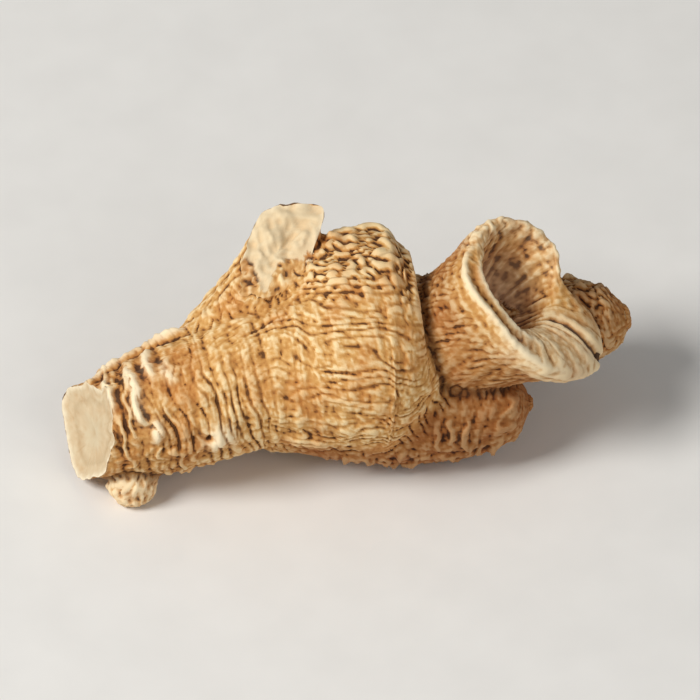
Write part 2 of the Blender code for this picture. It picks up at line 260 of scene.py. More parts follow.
class Skin:
    """The fine wrinkles that drying drew in the skin: rings, a net of long lines, ribs and knobs."""

    def __init__(self, seed, lines_round):
        self.bend = [Grit(seed * 31 + i) for i in range(3)]
        self.ring, self.net, self.knob, self.rib, self.spread, self.split = (
            Grit(seed * 57 + 9 + i) for i in range(6)
        )
        self.lines_round = lines_round

    def lines(self, place, angle, radius, ringed, netted):
        """The count of rings and of long lines up to each point, and how deep each is there."""
        spot = np.stack([place, radius * np.cos(angle), radius * np.sin(angle)], axis=-1)
        small = self.rib.at(spot / 1.3)
        rings = place / FINE_RING_PITCH + 1.1 * self.ring.at(spot / (3.4, 4.4, 4.4)) + 0.22 * small
        ring_depth = ringed * np.clip(0.50 + 1.3 * self.spread.at(spot / (1.5, 4.6, 4.6)), 0.0, 1.0)
        long_lines = self.lines_round * angle / math.tau + 1.7 * self.net.at(spot / (4.4, 2.6, 2.6)) + 0.24 * small
        line_depth = netted * np.clip(0.50 + 1.3 * self.spread.at(spot / (5.0, 1.3, 1.3) + 7.0), 0.0, 1.0)
        return rings, ring_depth, long_lines, line_depth

    def at(self, place, angle, radius, ringed, netted, knobbly, ribbed):
        spot = np.stack([place, radius * np.cos(angle), radius * np.sin(angle)], axis=-1)
        bent = spot + 0.4 * np.stack([grit.at(spot / 1.9) for grit in self.bend], axis=-1)
        rings, ring_depth, long_lines, line_depth = self.lines(place, angle, radius, ringed, netted)
        rib_turn = place / RIB_PITCH + 1.0 * self.split.at(spot / (2.4, 2.0, 2.0)) + 0.5
        rib = thin_lines(rib_turn, 0.32) * np.clip(0.20 + 1.8 * self.knob.at(spot / (1.4, 2.2, 2.2)), 0.0, 1.0)
        knob = np.abs(self.knob.at(bent / 0.92)) ** 0.7
        return (
            -0.16 * ring_depth * thin_lines(rings, 0.26)
            - 0.13 * line_depth * thin_lines(long_lines, 0.26)
            - 0.06 * creases(self.split.at(bent / (1.8, 0.9, 0.9)), 0.22) * (0.3 + 0.7 * netted)
            + 0.42 * ribbed * (rib - 0.2)
            + knobbly * (0.78 * knob - 0.30)
            + 0.10 * self.rib.at(bent / (0.9, 1.3, 1.3))
            + 0.05 * self.split.at(bent / 0.5)
        )


class Stretch:
    """A stretch of root: its line, its wrinkles as on the solid, and its finer skin."""

    def __init__(
        self,
        stations,
        wrinkles,
        skin,
        character,
        cut=None,
        lean=None,
        rounded=None,
        squared=0.0,
        corners=(),
        marks=((), (), ()),
    ):
        self.stations = stations
        self.wrinkles = wrinkles
        self.skin = skin
        self.character = character
        self.scars, self.ribs, self.long_ridges = marks
        self.squared = squared
        self.corners = corners
        self.cut = cut
        self.lean = lean or (lambda place, angle: 0.0)
        self.rounded = rounded or (lambda place, angle: 0.0)
        self.places = np.linspace(0.0, wrinkles.length, 400)
        radius = smooth_through(stations, self.places)[:, 3]
        steps = np.hypot(np.diff(self.places), np.diff(radius))
        self.paces = np.concatenate([[0.0], np.cumsum(steps)])

    def over_surface(self, place):
        """How far a place is along the surface itself, which is longer where the root narrows."""
        return np.interp(place, self.places, self.paces)

    def evenly(self, first, last, rows):
        """Places in rows from first to last, evenly spaced over the surface."""
        start, end = self.over_surface(first), self.over_surface(last)
        return np.interp(start + (end - start) * np.linspace(0.0, 1.0, rows)[:, None], self.paces, self.places)

    def ribs_and_scars(self, place, angle, radius):
        """The boldest pale ribs part of the way round, and the pitted scars of lost rootlets."""
        height = np.zeros(np.shape(place))
        for middle, toward, reach, rise in self.ribs:
            away = ((angle - math.radians(toward) + math.pi) % math.tau - math.pi) * radius
            bent = place - middle - 0.16 * np.sin(1.6 * away + middle)
            height += rise * np.exp(-((bent / RIB_WIDTH) ** 2) - np.abs(away / reach) ** 4)
        for start, end, toward, width, rise in self.long_ridges:
            away = ((angle - math.radians(toward) + math.pi) % math.tau - math.pi) * radius
            away = away - 0.5 * np.sin(0.55 * place + toward)
            here = between(start, start + 1.5, place) * (1 - between(end - 1.5, end, place))
            beside = np.exp(-(((away - 1.8 * width) / (0.6 * width)) ** 2))
            height += rise * here * ((0.75 + 0.35 * np.sin(1.1 * place)) * np.exp(-((away / width) ** 2)) - 0.5 * beside)
        for middle, toward, size in self.scars:
            away = ((angle - math.radians(toward) + math.pi) % math.tau - math.pi) * radius
            off = np.hypot(place - middle, away) / size
            pit = np.hypot(place - middle + 0.75 * size, away + 0.3 * size) / size
            height += size * (0.75 * np.exp(-(off**2)) - 0.55 * np.exp(-((pit / 0.30) ** 2)))
        return height

    def surface(self, place, angle):
        middle, radius, side, up = line_at(self.stations, place)
        column = angle * self.wrinkles.columns / math.tau
        form = 1 + 0.035 * np.cos(2 * angle + 0.09 * place) + 0.03 * np.cos(3 * angle - 0.12 * place + 1.0)
        form = form + self.squared * np.cos(4 * angle) * (1 - between(2.0, 7.0, place)) - self.rounded(place, angle)
        for toward, share, width in self.corners:
            away = (angle - math.radians(toward) + math.pi) % math.tau - math.pi
            form = form + share * np.exp(-((away / width) ** 2))
        relief = RING_SHARE * (1 - 0.7 * self.character(place, angle)[1]) * self.wrinkles.rings(place, angle)
        relief = relief + FURROW_SHARE * self.wrinkles.long_furrows(place, column)
        relief = relief + self.skin.at(self.over_surface(place), angle, radius, *self.character(place, angle))
        relief = relief * np.clip(radius / FULL_RELIEF_RADIUS, 0.2, 1.0)
        relief = relief + self.wrinkles.lumps(place, angle, radius) + self.ribs_and_scars(place, angle, radius)
        if self.cut:
            beyond = np.abs((middle - np.array(self.cut[0])) @ (np.array(self.cut[1]) / np.linalg.norm(self.cut[1])))
            relief = relief * (0.25 + 0.75 * between(0.3, 1.8, beyond))
        turned = angle + self.wrinkles.sway.at(place, angle)
        reach = (radius * form + relief)[..., None]
        points = middle + reach * (np.cos(turned)[..., None] * side + np.sin(turned)[..., None] * up)
        points[..., 0] -= self.lean(place, angle)
        return points

    def marks_for_finish(self, place, angle):
        """What the finish follows at each point: counts of rings and long lines, their depths, and paleness, partly a
        painted highlight.
        """
        radius = line_at(self.stations, place)[1]
        ringed, netted = self.character(place, angle)[:2]
        lines = self.skin.lines(self.over_surface(place), angle, radius, ringed, netted)
        # Raised ribs and scars are painted paler, partly as a painted highlight.
        pale = np.clip(self.ribs_and_scars(place, angle, radius) / 0.45, 0.0, 1.0)
        return np.stack([*lines, pale, 0 * pale], axis=-1)

    def edge_of(self, cut, angle, kept, lost):
        """Where the surface meets a plane that cuts it, for each angle, by halving."""
        spot, outward = np.array(cut[0]), np.array(cut[1])
        kept, lost = np.full(angle.shape, kept), np.full(angle.shape, lost)
        for _ in range(HALVINGS):
            half = (kept + lost) / 2
            beyond = (self.surface(half, angle) - spot) @ outward > 0
            kept, lost = np.where(beyond, kept, half), np.where(beyond, half, lost)
        return kept


def end_face(rim, outward, rows, seed, dish, lumpy):
    """Rows of points from the middle of an end out to its rim, dished or, below nought, domed."""
    outward = np.array(outward) / np.linalg.norm(outward)
    around = np.arange(len(rim)) * math.tau / len(rim)
    share = np.sin(np.linspace(0.03, 0.98, rows) * math.pi / 2)[:, None]
    face = rim.mean(axis=0) + (rim - rim.mean(axis=0)) * share[..., None]
    rough = Grit(seed)
    spin = np.stack([2 * np.cos(around) + 0 * share, 2 * np.sin(around) + 0 * share, 1.2 * share + 0 * around], -1)
    cracks = creases(rough.at(spin), 0.06) * between(0.3, 0.6, share) * (1 - between(0.80, 0.95, share))
    lumps = lumpy * (1 - 0.7 * share**6) * (rough.at(face / 1.6 + 4.0) + 0.5 * rough.at(face / 0.6 + 8.0))
    height = -dish * (1 - share**4) + 0.07 * rough.at(face / 1.1) + 0.04 * rough.at(face / 0.45) - 0.05 * cracks
    return face + (height + lumps)[..., None] * outward, share + 0 * around


pieces = []


def piece_from(name, rows, cut_share, hollow, lines):
    """A closed mesh from rows of points, kept with what the finish of each point depends on."""
    count, columns = rows.shape[:2]
    ring = np.arange(columns)
    following = np.roll(ring, -1)
    start = (np.arange(count - 1) * columns)[:, None]
    quads = np.stack([start + ring, start + following, start + columns + following, start + columns + ring], -1)
    ends = [ring[::-1].tolist(), (ring + (count - 1) * columns).tolist()]
    mesh = bpy.data.meshes.new(name)
    points = rows.reshape(-1, 3)
    mesh.from_pydata(points.tolist(), [], quads.reshape(-1, 4).tolist() + ends)
    a, b, c = (points[quads.reshape(-1, 4)[:, i]] for i in (0, 1, 2))
    if np.sum(a * np.cross(b, c)) < 0:
        mesh.flip_normals()
    piece = bpy.data.objects.new(name, mesh)
    marks = np.concatenate([cut_share[..., None], hollow[..., None], lines], axis=-1).reshape(len(points), -1)
    pieces.append({"piece": piece, "piece_name": name, "points": points, "marks": marks})
    return piece


def round_the_root(columns):
    """Angles round the root from its underside, closer together on the side that is seen most."""
    even = np.arange(columns) * math.tau / columns - math.pi / 2
    return even - CROWDING * np.sin(even - SEEN_SIDE)


def grown(name, stretch, grid, cut_at="end", dish=0.35, end_rows=14, lumpy=0.0, pale=0.0, face_pale=0.0, brown=((0,), (0,))):
    """A stretch of root as a piece, closed by a cut face or a domed end."""
    cut = stretch.cut
    rows, columns = grid
    angle = round_the_root(columns)
    length = stretch.wrinkles.length
    first, last = np.zeros(columns), np.full(columns, length)
    if cut and cut_at == "start":
        first = stretch.edge_of(cut, angle, length / 2, 0.0)
    elif cut:
        last = stretch.edge_of(cut, angle, length / 3, length)
    place = stretch.evenly(first, last, rows)
    side = stretch.surface(place, angle + 0 * place)
    rim = side[0] if cut_at == "start" else side[-1]
    outward = cut[1] if cut else side[-1].mean(axis=0) - side[-4].mean(axis=0)
    face, face_share = end_face(rim, outward, end_rows, SEED + len(pieces), dish, lumpy)
    if not cut:
        face_share = face_share * 0 - 1.0
    bare = np.full(side.shape[:2], -1.0)
    lines = stretch.marks_for_finish(place, angle + 0 * place)
    lines[:, (0, -1), 3] = 0.0
    lines[..., 4] = np.maximum(lines[..., 4], pale)
    lines[..., 5] = np.interp(place, *brown)
    brown_there = lines[0 if cut_at == "start" else -1, 0, 5]
    plain = np.zeros((end_rows, columns, 6)) + (0, 0, 0, 0, max(pale, face_pale), brown_there)
    if cut_at == "start":
        whole, shares, marks = (face, side), (face_share, bare), (plain, lines)
    else:
        whole, shares, marks = (side, face[::-1]), (bare, face_share[::-1]), (lines, plain)
    whole, shares, marks = (np.concatenate(both) for both in (whole, shares, marks))
    return piece_from(name, whole, shares, 0 * shares, marks)


def taproot_character(place, angle):
    """How ringed, netted, knobbly and ribbed the taproot is: ribs at its thin end, a net at its thick one."""
    netted = between(15.0, 24.0, place)
    toward = (angle - KNOBBLY_SIDE + math.pi) % math.tau - math.pi
    knobbly = between(22.5, 25.5, place) * np.exp(-((toward / 0.66) ** 4))
    ribbed = 1 - between(8.0, 14.0, place)
    ringed = (0.55 + 0.45 * between(7.0, 12.0, place)) * (1 - 0.86 * netted)
    return ringed, 0.10 + 0.90 * netted, knobbly, 0.12 + 0.88 * ribbed


def taproot_lean(place, angle):
    """The thick end slants back on its front, where the crown's collar comes down over it."""
    toward = (angle - THICK_END_LEANS + math.pi) % math.tau - math.pi
    return THICK_END_LEAN * between(25.0, 30.5, place) * np.exp(-((toward / 1.1) ** 2))


def thick_end_rounding(place, angle):
    """The share of its radius that the thick end's top loses, which stands high and then rounds over."""
    toward = (angle - THICK_END_TOP + math.pi) % math.tau - math.pi
    lost = THICK_END_ROUNDED * between(29.8, 33.2, place) - THICK_END_RAISED * between(19.0, 25.0, place)
    return lost * np.exp(-((toward / 0.9) ** 2))


grown(
    "taproot",
    Stretch(
        TAPROOT,
        Wrinkles(SEED, length_of(TAPROOT), TAPROOT_COLUMNS, TAPROOT_RINGS, TAPROOT_FURROWS, TAPROOT_KNOBS),
        Skin(SEED, lines_round=58),
        taproot_character,
        cut=THIN_END_CUT,
        lean=taproot_lean,
        rounded=thick_end_rounding,
        squared=SQUARED,
        marks=(SCARS, RIBS, LONG_RIDGES),
    ),
    TAPROOT_GRID,
    cut_at="start",
    brown=TAIL_BROWN,
)

# The shoulder.
# The root swells a second time low on its front, under the crown. It is the same flesh and
# skin, grown into the taproot's side, and painted browner all over as painted shade, since it faces down away from the
# light.

SHOULDER = (
    (17.0, -0.2, -1.0, 4.2),
    (21.0, -0.6, -2.0, 5.1),
    (25.0, -1.4, -3.0, 5.5),
    (29.0, -2.2, -4.1, 5.3),
    (32.5, -3.1, -4.9, 4.7),
    (35.2, -3.8, -5.4, 3.6),
    (36.8, -4.0, -5.7, 2.1),
    (37.4, -4.1, -5.8, 0.7),
)
SHOULDER_KNOBS = ((6, (8.0, 18.0), (0.0, math.tau), (1.0, 1.8), (0.2, 0.5)),)
SHOULDER_GRID = (120, 150)


def wrinkled(
    name, stations, columns, seed, depth, grid, character, knobs=(), lines_round=24, cut=None, corners=(), **end
):
    """A stretch of root with one depth of rings and furrows all along, and one character of skin."""
    length = length_of(stations)
    depths = [((0.0, length), (share, share)) for share in depth]
    wrinkles = Wrinkles(seed, length, columns, *depths, knobs)
    skin = Skin(seed + 70, lines_round)
    stretch = Stretch(stations, wrinkles, skin, lambda *_: character, cut=cut, corners=corners)
    return grown(name, stretch, grid, **end)


wrinkled(
    "shoulder",
    SHOULDER,
    columns=28,
    seed=SEED + 1,
    depth=(0.50, 0.50),
    grid=SHOULDER_GRID,
    character=(0.9, 0.35, 0.1, 1.0),
    knobs=SHOULDER_KNOBS,
    lines_round=26,
    # Browner all over: painted shade, as the shoulder faces down away from the light.
    brown=((0,), (1.0,)),
    dish=-0.4,
)

# The crown.
# A collar stands round the hollow scar that the dried stem left, folded like cloth gathered
# at a neck. Its lip is thick and rolled, with a groove along it, and one side is a spout.

CROWN_BASE = (31.4, 0.0, -1.4)
CROWN_FACES = (0.695, -0.212, 0.687)
# Rows up the outside as rise and radius, then over the lip as rise and share of the way from
# the hollow's edge to the lip's outside, then down the hollow as rise and share of its edge.
CROWN_OUTSIDE = ((0.0, 4.6), (1.4, 5.3), (2.8, 5.6), (4.2, 5.7), (5.5, 5.7), (6.8, 5.8), (8.0, 6.0))
CROWN_ROLL = ((8.9, 1.0), (9.6, 0.93), (10.0, 0.70), (10.0, 0.42), (9.7, 0.17), (9.1, 0.0))
CROWN_HOLLOW = ((8.0, 0.88), (6.8, 0.76), (5.7, 0.58), (5.0, 0.38), (4.7, 0.18))
# Round the crown: angle, how far out the lip and the hollow's edge are, and how far the lip stands up.
CROWN_LIP = (
    (20, 6.6, 5.1, 1.2),
    (60, 5.5, 3.5, 0.3),
    (105, 5.2, 2.3, 0.0),
    (150, 5.1, 2.3, -0.1),
    (180, 6.2, 2.7, -0.3),
    (212, 8.3, 3.2, -0.2),
    (250, 9.8, 3.8, 0.0),
    (272, 9.1, 3.9, 0.2),
    (292, 6.1, 4.4, 0.6),
    (320, 6.0, 5.0, 1.8),
    (350, 6.7, 5.4, 1.9),
)
LIP_STARTS = 3.0
CROWN_FOLDS = 16
FOLD_GROOVE = -0.34
FOLD_RIDGE = 0.14
CROWN_GRID = (106, 236)
FOLD_SHARE = 0.25
FAN_LINES = 44
FAN_SLANT = 0.15
NOTCH = math.radians(250)
# How much browner the crown's wall is near the neck: partly its own colour, partly painted shade.
WALL_BROWN_AND_SHADE = 0.80
FAR_LIP = math.radians(0)
LOWER_LIP = math.radians(212)
LIP_GROOVE_ROW = 9.4
LIP_GROOVE_MIDDLE = math.radians(133)


def through_rows(profile, row):
    """The profile at rows between its own, on a smooth curve through them."""
    index = np.clip(np.floor(row).astype(int), 0, len(profile) - 2)
    u = (row - index)[..., None]
    slopes = np.gradient(profile, axis=0)
    return (
        (2 * u**3 - 3 * u**2 + 1) * profile[index]
        + (u**3 - 2 * u**2 + u) * slopes[index]
        + (3 * u**2 - 2 * u**3) * profile[index + 1]
        + (u**3 - u**2) * slopes[index + 1]
    )


def round_crown(angle):
    """The lip's reach, the hollow's edge and how far the lip stands up, on smooth curves round the crown."""
    table = np.array(CROWN_LIP)
    turns = [table[:, 1:]] * 3
    knots = np.concatenate([table[:, 0] - 360, table[:, 0], table[:, 0] + 360])
    values = np.concatenate(turns)
    slopes = np.gradient(values, knots, axis=0)
    degrees = np.degrees(angle) % 360
    index = np.searchsorted(knots, degrees, side="right") - 1
    span = (knots[index + 1] - knots[index])[..., None]
    u = (degrees - knots[index])[..., None] / span
    found = (
        (2 * u**3 - 3 * u**2 + 1) * values[index]
        + (u**3 - 2 * u**2 + u) * span * slopes[index]
        + (3 * u**2 - 2 * u**3) * values[index + 1]
        + (u**3 - u**2) * span * slopes[index + 1]
    )
    return np.moveaxis(found, -1, 0)


def on_lip(row):
    """How far a row of the crown is on its lip, from 0 off it to 1 on it."""
    return between(5.0, 7.5, row) * (1 - between(11.5, 13.0, row))


def smooth_lip(angle):
    """How smooth the lip is at each angle: two bare ridges run round its left side."""
    toward = (angle - LIP_GROOVE_MIDDLE + math.pi) % math.tau - math.pi
    return np.exp(-((toward / 1.1) ** 4))


def crown_form(row, angle):
    """The collar as on its solid, at any row of the solid's own grid and any angle."""
    drift = Wave(random.Random(SEED + 5), (1, 2), 0.10, (0.1, 0.3))
    axis = np.array(CROWN_FACES) / np.linalg.norm(CROWN_FACES)
    side = np.array([0.0, 1.0, 0.0]) - axis * axis[1]
    side /= np.linalg.norm(side)
    up = np.cross(axis, side)
    column = angle * CROWN_FOLDS * 3 / math.tau
    lip, edge, stand = round_crown(angle)
    outside = [(rise, radius, 0.0, 0.0) for rise, radius in CROWN_OUTSIDE]
    roll = [(rise, 0.0, share, 1 - share) for rise, share in CROWN_ROLL]
    hollow = [(rise, 0.0, 0.0, share) for rise, share in CROWN_HOLLOW]
    rise, own, of_lip, of_edge = np.moveaxis(through_rows(np.array(outside + roll + hollow), row), -1, 0)
    near_lip = np.clip((rise - LIP_STARTS) / (CROWN_ROLL[0][0] - LIP_STARTS), 0.0, 1.0)
    still_outside = 1 - between(len(outside) - 1.0, len(outside) + 0.0, row)
    flare = still_outside * near_lip**1.5 * (lip - CROWN_OUTSIDE[-1][1])
    fold = np.interp(column % 3, (0, 0.6, 1, 2, 2.4, 3), (FOLD_GROOVE, 0.1, FOLD_RIDGE, FOLD_RIDGE, 0.1, FOLD_GROOVE))
    fold = fold * FOLD_SHARE * (1 - 0.8 * between(5.0, 7.5, row)) * np.clip(rise / LIP_STARTS, 0.0, 1.0)
    reach = (own + of_lip * lip + of_edge * edge + flare + fold)[..., None]
    rise = rise + near_lip * stand
    turned = angle + drift.at(rise, angle)
    outward = np.cos(turned)[..., None] * side + np.sin(turned)[..., None] * up
    return np.array(CROWN_BASE) + rise[..., None] * axis + reach * outward


def out_of(points):
    """The way out of a grid of points that closes on itself across its columns."""
    across = np.roll(points, -1, axis=1) - np.roll(points, 1, axis=1)
    along = np.gradient(points, axis=0)
    out = np.cross(across, along)
    out /= np.maximum(np.linalg.norm(out, axis=-1, keepdims=True), 1e-9)
    middle = points.shape[0] // 3
    outward = points[middle] - points[middle].mean(axis=0)
    return out * np.sign(np.sum(out[middle] * outward))


def fan_lines(row, angle):
    """The count of fine folds up the collar and down its hollow, and how deep they are."""
    bend, spread = Grit(SEED * 13), Grit(SEED * 13 + 1)
    turn = np.stack([3.2 * np.cos(angle), 3.2 * np.sin(angle), 0.20 * row], -1)
    slanted = angle - FAN_SLANT * np.minimum(row, 8.0)
    count = FAN_LINES * slanted / math.tau + 1.1 * bend.at(turn) + 0.35 * bend.at(2.6 * turn)
    count = count + 0.6 * bend.at(turn * (1.0, 1.0, 3.0) + 5.0)
    rough = 1 - on_lip(row) * (0.35 + 0.65 * smooth_lip(angle))
    depth = rough * np.clip(0.55 + 1.2 * spread.at(turn * (2.0, 2.0, 1.2)), 0.0, 1.0)
    depth = depth * (1 - 0.75 * between(11.0, 13.0, row))
    return count, depth


def crown_wrinkles(row, angle, points):
    """The finer folds up the collar, the grooved lip, and the wrinkles that run down its hollow."""
    cross, grain = Grit(SEED * 13 + 2), Grit(SEED * 13 + 3)
    count, depth = fan_lines(row, angle)
    smooth = smooth_lip(angle)
    rough = 1 - on_lip(row) * smooth
    wander = LIP_GROOVE_ROW + 0.3 * np.sin(3 * angle)
    groove = np.exp(-(((row - wander) / 0.45) ** 2))
    ridges = np.exp(-(((row - wander + 1.0) / 0.42) ** 2)) + np.exp(-(((row - wander - 1.0) / 0.42) ** 2))
    off_notch = (angle - NOTCH + math.pi) % math.tau - math.pi
    off_notch = off_notch + 0.06 * np.sin(1.1 * (row - 7.0))
    notch = np.exp(-((off_notch / 0.045) ** 2)) * between(4.0, 7.0, row) * (1 - between(11.0, 13.0, row))
    beside = np.exp(-((np.abs(off_notch) / 0.055 - 2.2) ** 2)) * between(5.0, 7.0, row) * (1 - between(10.0, 12.5, row))
    far_lip = on_lip(row) * between(0.3, 0.75, np.cos(angle - FAR_LIP))
    lower_lip = on_lip(row) * between(0.4, 0.9, np.cos(angle - LOWER_LIP))
    fan = np.stack([9.0 * np.cos(angle), 9.0 * np.sin(angle), 0.45 * row + 0.8 * np.sin(3 * angle)], -1)
    in_hollow = between(11.5, 13.0, row)
    height = (
        -0.12 * depth * thin_lines(count, 0.26)
        + (0.09 * lower_lip + 0.24 * in_hollow) * grain.at(fan)
        + 0.14 * in_hollow * cross.at(points / 1.1 + 3.0)
        - 0.05 * (1 - on_lip(row)) * creases(cross.at(points / (1.1, 1.3, 0.8)), 0.22)
        + smooth * (0.28 * ridges - 0.20 * groove)
        - 0.60 * notch
        + 0.12 * beside
        + 0.07 * (1 - 0.7 * lower_lip) * grain.at(points / 0.55)
        + (0.10 * rough * on_lip(row) * (1 - lower_lip) + 0.08 * far_lip) * grain.at(points / 0.8 + 9.0)
    )
    # The lip's ridges, lower lip and far lip are painted paler, partly their own colour and partly a painted highlight.
    pale = np.clip(0.9 * smooth * on_lip(row) * ridges + 0.5 * lower_lip + 0.6 * far_lip, 0.0, 1.0)
    return height, pale


crown_row, crown_angle = np.meshgrid(
    np.linspace(0.0, len(CROWN_OUTSIDE + CROWN_ROLL + CROWN_HOLLOW) - 1.0, CROWN_GRID[0]),
    np.arange(CROWN_GRID[1]) * math.tau / CROWN_GRID[1],
    indexing="ij",
)
crown_points = crown_form(crown_row, crown_angle)
crown_height, crown_pale_and_highlight = crown_wrinkles(crown_row, crown_angle, crown_points)
crown_points += crown_height[..., None] * out_of(crown_points)
crown_count, crown_depth = fan_lines(crown_row, crown_angle)
crown_depth[:, (0, -1)] = 0.0
crown_brown = WALL_BROWN_AND_SHADE * (1 - between(5.0, 8.0, crown_row))
crown_lines = np.stack([0 * crown_row, 0 * crown_row, crown_count, crown_depth, crown_pale_and_highlight, crown_brown], axis=-1)
piece_from("crown", crown_points, 0 * crown_row - 1.0, between(11.8, 15.5, crown_row), crown_lines)

# The bud.
# Next year's bud sits behind the hollow scar. It dried to a wrinkled, knobbly lump of the
# same skin, browner than the rest, and grew out of the crown's back.

BUD = (
    (33.0, 1.0, -0.6, 3.4),
    (37.0, 1.6, -2.0, 4.0),
    (40.5, 1.8, -3.2, 4.1),
    (43.8, 1.5, -3.8, 3.7),
    (46.2, 1.1, -4.0, 2.6),
    (47.4, 0.9, -4.0, 1.0),
)
BUD_KNOBS = ((7, (5.0, 14.0), (0.0, math.tau), (1.0, 1.6), (0.3, 0.6)),)
wrinkled(
    "bud",
    BUD,
    columns=20,
    seed=SEED + 6,
    depth=(0.40, 0.50),
    grid=(90, 116),
    character=(1.0, 1.0, 0.7, 0.9),
    knobs=BUD_KNOBS,
    lines_round=22,
    brown=((0,), (0.65,)),
    dish=-0.4,
)

# The side root.
# A thick branch left the taproot's upper side and was trimmed off, so it ends in a pale,
# lumpy cut face with a strip of skin up its side.

SIDE_ROOT = (
    (12.8, 2.0, 1.4, 5.0),
    (15.6, 3.4, 3.6, 4.6),
    (18.0, 4.5, 5.9, 3.9),
    (20.0, 5.3, 8.4, 3.3),
    (21.3, 5.9, 10.6, 3.0),
    (22.1, 6.3, 12.4, 3.0),
)
SIDE_ROOT_CUT = ((21.2, 5.9, 10.3), (0.0, -0.35, 0.94))
# Corners of its section: angle, how much it stands out there, and how wide it is.
SIDE_ROOT_CORNERS = ((303, 0.32, 0.27), (340, -0.06, 0.35), (246, -0.17, 0.45), (20, 0.03, 0.5))
# Directions across and up the cut face, and the tongue of flesh that runs down it.
ACROSS_FACE = (0.95, -0.22, -0.17)
UP_FACE = (0.27, 0.66, 0.70)
TONGUE_MIDDLE = -0.9
TONGUE_REACH = 2.6
BARK_EDGE = -0.3
PALE_MARK = 6
wrinkled(
    "side_root",
    SIDE_ROOT,
    columns=20,
    seed=SEED + 2,
    depth=(0.30, 0.30),
    grid=(66, 120),
    character=(0.3, 0.8, 0.1, 0.0),
    lines_round=20,
    cut=SIDE_ROOT_CUT,
    corners=SIDE_ROOT_CORNERS,
    dish=0.1,
    lumpy=0.55,
    face_pale=0.7,
    end_rows=30,
)


def bark_over_face(piece):
    """Takes the mark of a cut face off the part of it that bark covers, under a ragged edge."""
    on_face = piece["marks"][:, 0] >= 0
    spots = piece["points"] - piece["points"][on_face].mean(axis=0)
    across, up = spots @ np.array(ACROSS_FACE), spots @ np.array(UP_FACE)
    tongue = TONGUE_REACH * np.exp(-(((across - TONGUE_MIDDLE) / 0.75) ** 2))
    ragged = 0.5 * Grit(SEED + 3).at(piece["points"] / 0.8)
    under_bark = on_face & (up + tongue + ragged < BARK_EDGE)
    piece["marks"][under_bark, 0] = -1.0
    piece["marks"][under_bark, PALE_MARK] = 0.15


bark_over_face(pieces[-1])

# The rootlet stubs.
# One thin rootlet broke off under the cut end and one low on the back. Each left a short,
# blunt knob of the same skin, and the root lies on both.

FRONT_STUB = ((4.3, -0.6, -0.9, 2.2), (4.0, -1.8, -2.5, 2.3), (3.7, -2.5, -3.9, 2.2), (3.6, -3.0, -5.0, 1.6))
BACK_STUB = ((20.0, 2.2, -3.0, 3.4), (20.6, 3.8, -4.8, 2.8), (21.1, 4.9, -6.4, 2.3), (21.3, 5.4, -7.5, 2.2))
for stub_name, stub_line, stub_seed, stub_depth, stub_pale in (
    ("front_stub", FRONT_STUB, SEED + 3, 0.04, 0.55),
    ("back_stub", BACK_STUB, SEED + 4, 0.25, 0.0),
):
    wrinkled(
        stub_name,
        stub_line,
        columns=12,
        seed=stub_seed,
        depth=(stub_depth, stub_depth),
        grid=(34, 80),
        character=(0.1, 0.0, 0.6, 0.0),
        lines_round=14,
        dish=-0.5,
        pale=stub_pale,
    )

# The whole root.
# It grew in one piece, so its parts have no seams: the flesh runs on from one to the next,
# with a soft fold where they meet, and some folds get painted shade. The ridges are painted pale, partly
# for dust and wear and partly as a painted highlight, and the furrows dark, partly for dust and partly as painted
# shade.

PITCH = math.radians(9.3)
LAID_MIDDLE = (23.841, 0.439, -4.708)
SOFT_FOLDS = {"shoulder": 1.7, "side_root": 1.3, "front_stub": 0.8, "back_stub": 1.0, "crown": 0.25, "bud": 0.4}
# Where these pieces meet the rest, the fold gets painted shade: a dark brown laid where shade falls.
FOLDS_WITH_PAINTED_SHADE = ("crown", "bud", "front_stub")


def grown_together(parts):
    """One object from the first part and the others, with the first part's name of root."""
    body = parts[0]
    bpy.context.scene.collection.objects.link(body)
    others = bpy.data.collections.new("grown_on")
    bpy.context.scene.collection.children.link(others)
    for part in parts[1:]:
        others.objects.link(part)
    union = body.modifiers.new("grown_together", "BOOLEAN")
    union.operation = "UNION"
    union.solver = "MANIFOLD"
    union.operand_type = "COLLECTION"
    union.collection = others
    bpy.context.view_layer.update()
    mesh = bpy.data.meshes.new_from_object(body.evaluated_get(bpy.context.evaluated_depsgraph_get()))
    body.modifiers.clear()
    for part in parts[1:]:
        bpy.data.objects.remove(part)
    bpy.data.collections.remove(others)
    body.data = mesh
    return body


def nearest_in_pieces(points):
    """For each point, which piece's point it was, and that point's place in its piece."""
    tree = KDTree(sum(len(p["points"]) for p in pieces))
    owner, index = [], []
    for number, piece in enumerate(pieces):
        for i, point in enumerate(piece["points"]):
            tree.insert(point, len(owner))
            owner.append(number)
            index.append(i)
    tree.balance()
    found = np.array([tree.find(point)[1] for point in points])
    return np.array(owner)[found], np.array(index)[found]


